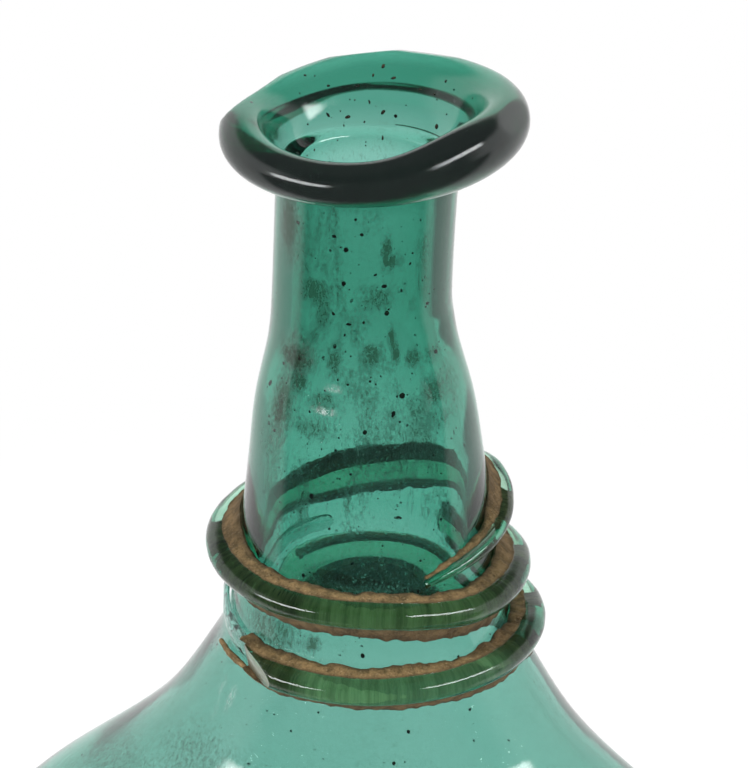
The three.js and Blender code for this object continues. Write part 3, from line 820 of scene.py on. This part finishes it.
def make_grit(outside, material):
    """Black specks on the inner face: the large ones in their places, and fine ones scattered."""
    bm = bmesh.new()
    chance = random.Random(7)
    places = list(GRIT)
    for count, low, high, largest in FINE_GRIT:
        for _ in range(count):
            wide = largest * (0.35 + 0.65 * chance.random() ** 2)
            high_share = chance.uniform(0.7, 1.7)
            places.append((chance.uniform(-180, 180), chance.uniform(low, high), wide, wide * high_share))
    for turn, level, wide, high in places:
        way = direction(math.radians(turn))
        spot, facing, _, _ = outside.ray_cast(Vector((0, 0, level * MM)), way)
        if not spot:
            continue  # the lip is lower than this here
        across = Vector((0, 0, 1)).cross(facing).normalized()
        lean = Matrix.Rotation(chance.uniform(-0.5, 0.5), 4, "Z")
        seat = Matrix.Identity(4)
        for k, column in enumerate((across, facing.cross(across), facing, spot)):
            seat.col[k][:3] = column
        size = Matrix.Diagonal((wide * MM, high * MM, GRIT_HALF_DEPTH * MM, 1))
        made = bmesh.ops.create_icosphere(bm, subdivisions=1, radius=1, matrix=seat @ lean @ size)
        for v in made["verts"]:
            v.co += (v.co - spot) * GRIT_RAGGED * noise.noise(v.co * 2500)
    piece = finished(bm, "black_grit", material)
    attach(piece, BODY)


# Thread: turn in degrees, level in millimetres, share of the full thickness
UPPER_THREAD = [
    (45, 177.02, 0.3),
    (54, 177.78, 0.42),
    (69, 178.70, 0.52),
    (84, 179.63, 0.63),
    (110, 181.22, 0.75),
    (136, 182.4, 0.86),
    (165, 180.97, 0.95),
    (196, 178.87, 1),
    (245, 177.19, 1.03),
    (290, 176.02, 1.04),
    (335, 174.76, 1.01),
    (386, 174, 1),
    (425, 172.40, 1),
    (470, 172.49, 1),
    (505, 171.98, 0.98),
    (520, 171.73, 0.9),
]
LOWER_THREAD = [
    (-33, 164.8, 0.92),
    (-26, 164.22, 0.95),
    (-10, 164, 1),
    (20, 163.70, 1),
    (65, 163.70, 0.98),
    (110, 164.41, 1),
    (155, 164.56, 1),
    (200, 164.56, 0.98),
    (235, 164.37, 0.85),
    (246, 164.30, 0.5),
]
# The rod, in millimetres
ROD_HALF_DEPTH = 2.175
ROD_HALF_HEIGHT = 1.85
ROD_SUNK = 0.25  # how deep the rod lies in the wall
ROD_STEP = 2  # degrees between its rings
ROD_SIDES = 24
ROD_UNEVEN = 0.02  # how much its thickness varies
ROD_LUMPS = 0.12  # cells of that noise per degree
WALL_PROBE = 0.9  # how far up the wall its slope is taken
BEYOND = 0.12  # a distance from the axis that is outside the whole flask, in metres
WOUND_RADIUS = 20  # the place along a thread is its turn at this radius
# The break at the front left: turn and tilt of the way that it faces, and its place in degrees
BREAK = (-46, -12, -30)


def along_path(table, degrees):
    """The level and share at a turn of a thread's table, on a smooth curve through its places."""
    i = max(k for k in range(len(table) - 1) if table[k][0] <= degrees or k == 0)
    a, b = table[i], table[i + 1]
    before = table[max(i - 1, 0)]
    after = table[min(i + 2, len(table) - 1)]
    f = (degrees - a[0]) / (b[0] - a[0])
    span = b[0] - a[0]
    values = []
    for k in (1, 2):
        slope_a = (b[k] - before[k]) / (b[0] - before[0]) * span
        slope_b = (after[k] - a[k]) / (after[0] - a[0]) * span
        values.append(
            (2 * f**3 - 3 * f**2 + 1) * a[k]
            + (f**3 - 2 * f**2 + f) * slope_a
            + (3 * f**2 - 2 * f**3) * b[k]
            + (f**3 - f**2) * slope_b
        )
    return values


def wall_radius(outside, turn, level):
    """How far out the vessel's outer face lies at a turn and level, in millimetres."""
    way = direction(turn)
    start = way * BEYOND + Vector((0, 0, level * MM))
    hit = outside.ray_cast(start, -way)[0]
    return hit.to_2d().length / MM


def rod_frame(outside, table, degrees, thickness=1.0):
    """The frame of the rod at a turn: its first axis out from the wall, its second up the wall, and both as
    long as the rod's half depth and half height."""
    turn = math.radians(degrees)
    level, share = along_path(table, degrees)
    share *= thickness
    radius = wall_radius(outside, turn, level)
    slope = math.atan((radius - wall_radius(outside, turn, level + WALL_PROBE)) / WALL_PROBE)
    way = direction(turn)
    up = Vector((0, 0, 1))
    out_axis = way * math.cos(slope) + up * math.sin(slope)
    up_axis = up * math.cos(slope) - way * math.sin(slope)
    half_depth = ROD_HALF_DEPTH * share
    centre = way * radius + up * level + out_axis * (half_depth - ROD_SUNK)
    columns = (out_axis * half_depth, up_axis * ROD_HALF_HEIGHT * share, out_axis.cross(up_axis), centre)
    made = Matrix.Identity(4)
    for k, column in enumerate(columns):
        made.col[k][:3] = column * MM
    return made


def drawn(bm, ring, frames):
    """Draws a closed ring of vertices, set at the first frame, through the rest, with both ends closed."""
    edges = list(dict.fromkeys(e for v in ring for e in v.link_edges))
    bm.faces.new(ring)
    for before, after in zip(frames, frames[1:]):
        made = bmesh.ops.extrude_edge_only(bm, edges=edges)["geom"]
        verts = [g for g in made if isinstance(g, bmesh.types.BMVert)]
        fresh = set(verts)
        edges = [g for g in made if isinstance(g, bmesh.types.BMEdge) and set(g.verts) <= fresh]
        bmesh.ops.transform(bm, matrix=after @ before.inverted(), verts=verts)
    bmesh.ops.contextual_create(bm, geom=edges)
    bmesh.ops.recalc_face_normals(bm, faces=bm.faces)
    bm.normal_update()


def rod_frames(outside, table, step, start, end):
    """The rod's frames from one turn to another, with slight lumps."""
    count = math.ceil((end - start) / step)
    frames = []
    for i in range(count + 1):
        degrees = start + (end - start) * i / count
        lumps = 1 + ROD_UNEVEN * noise.noise(Vector((degrees * ROD_LUMPS, table[0][1], 0)))
        frames.append(rod_frame(outside, table, degrees, lumps))
    return frames


def mark_wound(bm):
    """Stores on each vertex its place along the thread, its level and its distance from the axis."""
    layer = bm.verts.layers.float_vector.new(WOUND)
    for v in bm.verts:
        turn = math.atan2(v.co.x, -v.co.y)
        v[layer] = Vector((turn * WOUND_RADIUS, v.co.z / MM, v.co.to_2d().length / MM))


def break_off(bm, turn, tilt, place):
    """Cuts the thread off along a plane at a place, and marks the face of the break."""
    layer = bm.faces.layers.float.new(BROKEN)
    way = direction(math.radians(turn), math.radians(tilt))
    reach = place.to_2d().length
    geom = [g for g in (*bm.verts, *bm.edges, *bm.faces) if is_near(g, place, reach)]
    bmesh.ops.bisect_plane(bm, geom=geom, plane_co=place, plane_no=way, clear_outer=True, dist=1e-7)
    rim = [e for e in bm.edges if e.is_boundary]
    for face in bmesh.ops.holes_fill(bm, edges=rim)["faces"]:
        face[layer] = 1


def is_near(element, place, reach):
    """Whether a part of the mesh lies within reach of a place."""
    verts = [element] if isinstance(element, bmesh.types.BMVert) else element.verts
    return all((v.co - place).length < reach for v in verts)


def make_rod(outside, table, name, material, broken=None):
    """One surviving run of the thread, cut off at its break where it has one."""
    frames = rod_frames(outside, table, ROD_STEP, table[0][0], table[-1][0])
    bm = bmesh.new()
    made = bmesh.ops.create_circle(bm, segments=ROD_SIDES, radius=1, matrix=frames[0])
    drawn(bm, made["verts"], frames)
    mark_wound(bm)
    if broken:
        turn, tilt, degrees = broken
        break_off(bm, turn, tilt, rod_frame(outside, table, degrees).translation)
    piece = finished(bm, name + "_glass", material)
    replace_node(piece, name)


# Soil in the crevice over a thread: out and up, as shares of the rod's half depth and half height. Then how
# far a place goes along with the soil's reach on the wall, how far it lies behind the rod, and how near it
# is to the soil's rim, which is darker; where the soil meets the rod, that darkening is painted shade.
CREVICE = [
    (-0.97, 0.1, 0, 1, 0),
    (-0.99, 0.7, 0, 0.65, 0),
    (-0.97, 1.3, 1, 0, 1),
    (-0.75, 1.38, 1, 0, 1),
    (-0.4, 1.3, 0.4, 0, 0.1),
    (-0.05, 1.13, 0, 0, 0),
    (0.12, 0.97, 0, 0, 0.9),
    (-0.1, 0.92, 0, 0, 0.6),
    (-0.4, 0.84, 0, 0.15, 0),
    (-0.65, 0.68, 0, 0.45, 0),
    (-0.83, 0.45, 0, 0.8, 0),
]
CREVICE_REACH = 1.38
SOIL_STRETCHES = [
    # node, table, from and to in degrees, over or under the rod, and the reach along the wall in front and
    # at the back, in half heights of the rod
    ("soil_upper_top", UPPER_THREAD, 46, 515, 1, 1.38, 2.35),
    ("soil_upper_under", UPPER_THREAD, 100, 515, -1, 2.0, 1.45),
    ("soil_lower_top", LOWER_THREAD, -37, 236, 1, 1.5, 1.2),
    ("soil_lower_under", LOWER_THREAD, -33, 236, -1, 1.55, 2.3),
]
SOIL_STEP = 0.9
SOIL_ROUGHNESS = 0.2 * MM
SOIL_LUMPS = 0.15 * MM
BACK_OPEN = 0.8  # how much less of the rod's half height the soil covers behind it at the back
THROUGH_LIT_TURN = CAMERA_TURN + math.radians(15)  # the middle of the painted light on the soil behind the rods
TOP_THROUGH_LIT = 0.25  # how much painted light the soil over a rod gets behind it, beside the soil under it
UNDER_DARK = 0.55  # painted shade: how dark the soil is under a rod, and how dark it gets towards the flask's sides
SIDE_DARK = 0.6
# Where things fade in round the flask, as cosines of the angle from the front, or from the middle of the
# painted light
SOIL_FRONT = (0.05, 0.35)
SOIL_SIDES = (0.75, 0.25)
SOIL_THROUGH_LIT = (0.68, 0.82)


def make_soil(outside, stretch, material):
    """Soil beside a stretch of thread: the crevice's outline is drawn along the rod and roughened."""
    name, table, start, end, side, front_reach, back_reach = stretch
    frames = rod_frames(outside, table, SOIL_STEP, start, end)
    bm = bmesh.new()
    reach, behind, edge_and_shade = (bm.verts.layers.float.new(n) for n in ("reach", BEHIND, EDGE_AND_SHADE))
    ring = []
    for out, up, *values in CREVICE:
        v = bm.verts.new((out, side * up, 0))
        v[reach], v[behind], v[edge_and_shade] = values
        ring.append(v)
    for a, b in zip(ring, ring[1:] + ring[:1]):
        bm.edges.new((a, b))
    bmesh.ops.transform(bm, matrix=frames[0], verts=ring)
    drawn(bm, ring, frames)
    through_lit_way = direction(THROUGH_LIT_TURN)
    for v in bm.verts:
        rough = crumbs(v.co, 700)
        slow = noise.noise(v.co * 160)
        ragged = noise.noise(v.co * 260) * 0.5 + noise.noise(v.co * 800) * 0.3
        way = Vector((v.co.x, v.co.y, 0)).normalized()
        to_front = way.dot(FRONT)
        front = fade(to_front, *SOIL_FRONT)
        at_side = fade(to_front, *SOIL_SIDES)
        # Painted shade: darker towards the flask's sides, and all along under the rod
        v[edge_and_shade] = max(v[edge_and_shade], SIDE_DARK * at_side, UNDER_DARK if side < 0 else 0)
        # The soil's rim goes up or down the wall, and behind the rod it draws back
        far = back_reach + (front_reach - back_reach) * front - CREVICE_REACH
        along_wall = v[reach] * (far * ROD_HALF_HEIGHT + ragged)
        drawn_back = v[behind] * (1 - front) * BACK_OPEN * ROD_HALF_HEIGHT
        rise = side * (along_wall + drawn_back)
        turn, level = math.atan2(v.co.x, -v.co.y), v.co.z / MM
        step_out = wall_radius(outside, turn, level + rise) - wall_radius(outside, turn, level)
        bulk = 1 - v[behind]
        # Painted light: the soil behind the rod is paler round one turn, and less so over the rod than
        # under it
        v[behind] *= fade(way.dot(through_lit_way), *SOIL_THROUGH_LIT) * (1 if side < 0 else TOP_THROUGH_LIT)
        v.co += Vector((0, 0, rise * MM)) + way * step_out * MM
        v.co += v.normal * (SOIL_ROUGHNESS * rough + SOIL_LUMPS * slow) * bulk
    piece = finished(bm, name + "_grain", material, smooth=False)
    replace_node(piece, name)


def rough_node(name, material, amount, ending):
    """The CAD node's own form, rounded and roughened."""
    bm = subdivided(merged(name), 3)
    bm.normal_update()
    for v in bm.verts:
        v.co += v.normal * amount * crumbs(v.co, 600)
    piece = finished(bm, name + ending, material)
    replace_node(piece, name)


make_camera()
make_lamps()
make_world()
make_floor()

soil = burial_soil()
rod_glass = thread_glass()
torn_glass = broken_glass()
outside = make_vessel(teal_glass())
make_rod(outside, UPPER_THREAD, "thread_upper", rod_glass)
make_rod(outside, LOWER_THREAD, "thread_lower", rod_glass, broken=BREAK)
for stretch in SOIL_STRETCHES:
    make_soil(outside, stretch, soil)
make_grit(outside, black_grit())
rough_node("thread_remnant", torn_glass, 0.08 * MM, "_glass")
rough_node("pontil_mark", torn_glass, 0.15 * MM, "_glass")
rough_node("soil_scar", soil, 0.2 * MM, "_grain")

scene = bpy.context.scene
scene.view_settings.view_transform = "Standard"
scene.cycles.max_bounces = 32
scene.cycles.transmission_bounces = 32
scene.cycles.transparent_max_bounces = 32
scene.cycles.caustics_reflective = False
scene.cycles.caustics_refractive = True
